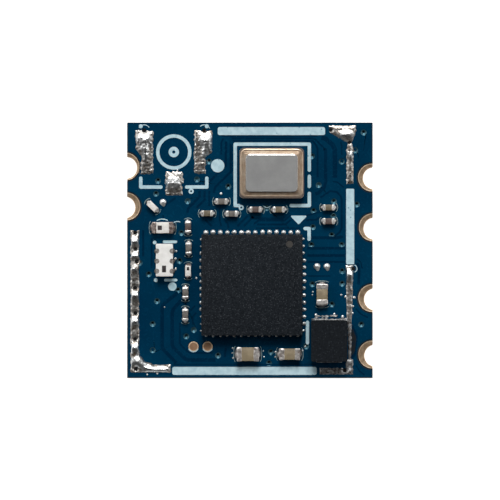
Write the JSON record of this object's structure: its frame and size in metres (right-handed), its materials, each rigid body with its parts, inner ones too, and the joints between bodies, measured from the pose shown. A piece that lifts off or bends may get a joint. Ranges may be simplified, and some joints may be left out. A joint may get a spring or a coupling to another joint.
{
  "type": "wifi module",
  "caption": "Square castellated wifi module: blue circuit board with processor, crystal, filter, inductor and chip parts, and bare lands where its shield and antenna socket sat.",
  "frame": {"origin": "middle of the board's underside, the face that is soldered to a carrier board", "axes": "+Z out of the component side, +Y towards the end with the antenna socket's lands, +X towards the side with four edge pads"},
  "size_m": [0.0122, 0.0126, 0.0018],
  "materials": {
    "solder_mask": "deep blue solder mask, satin gloss, on glass laminate",
    "bare_copper": "gold-flashed copper, satin",
    "ink": "pale blue-white printed ink, matte",
    "land_solder": "rough reflowed solder, bright on the crests and grey in the hollows",
    "package_black": "black moulding compound with a fine speckle",
    "lead_tin": "bright tin solder",
    "crystal_ceramic": "grey-brown fired ceramic, matte",
    "seal_gold": "gold-plated seal ring, satin",
    "lid_nickel": "matte nickel-plated lid",
    "quartz": "clear quartz",
    "core_black": "pressed iron powder in black resin, matte",
    "filter_ceramic": "white fired ceramic, matte",
    "filter_metal": "grey-brown fired silver",
    "chip_white": "white chip ceramic, matte",
    "chip_tan": "tan chip ceramic, satin",
    "chip_grey": "grey chip ceramic, satin",
    "chip_brown": "brown chip ceramic, satin",
    "chip_tin": "tinned end cap with its solder fillet"
  },
  "bodies": {
    "root": {"circuit_board": "solder_mask", "left_edge_pads": "bare_copper", "right_edge_pads": "bare_copper", "test_pads": "bare_copper", "silkscreen": "ink", "antenna_land_left": "land_solder", "antenna_land_right": "land_solder", "antenna_land_signal": "land_solder", "shield_land_left": "land_solder", "shield_land_top_right": "land_solder", "shield_land_bottom_right": "land_solder", "spare_pads": "land_solder", "processor_body": "package_black", "processor_leads": "lead_tin", "processor_thermal_pad": "lead_tin", "crystal_base": "crystal_ceramic", "crystal_seal_ring": "seal_gold", "crystal_lid": "lid_nickel", "crystal_terminals": "seal_gold", "crystal_blank": "quartz", "inductor_core": "core_black", "inductor_terminals": "lead_tin", "filter_body": "filter_ceramic", "filter_terminals": "filter_metal", "antenna_coil_body": "chip_white", "antenna_coil_terminals": "chip_tin", "upper_cap_1_body": "chip_grey", "upper_cap_1_terminals": "chip_tin", "upper_cap_2_body": "chip_brown", "upper_cap_2_terminals": "chip_tin", "upper_cap_3_body": "chip_grey", "upper_cap_3_terminals": "chip_tin", "upper_cap_4_body": "chip_brown", "upper_cap_4_terminals": "chip_tin", "upper_cap_5_body": "chip_brown", "upper_cap_5_terminals": "chip_tin", "right_cap_1_body": "chip_brown", "right_cap_1_terminals": "chip_tin", "right_cap_2_body": "chip_brown", "right_cap_2_terminals": "chip_tin", "bias_coil_body": "chip_white", "bias_coil_terminals": "chip_tin", "left_cap_1_body": "chip_brown", "left_cap_1_terminals": "chip_tin", "left_cap_2_body": "chip_grey", "left_cap_2_terminals": "chip_tin", "match_coil_body": "chip_white", "match_coil_terminals": "chip_tin", "left_cap_3_body": "chip_grey", "left_cap_3_terminals": "chip_tin", "left_cap_4_body": "chip_grey", "left_cap_4_terminals": "chip_tin", "bulk_cap_1_body": "chip_tan", "bulk_cap_1_terminals": "chip_tin", "bulk_cap_2_body": "chip_tan", "bulk_cap_2_terminals": "chip_tin", "output_cap_body": "chip_tan", "output_cap_terminals": "chip_tin"}
  },
  "joints": []
}
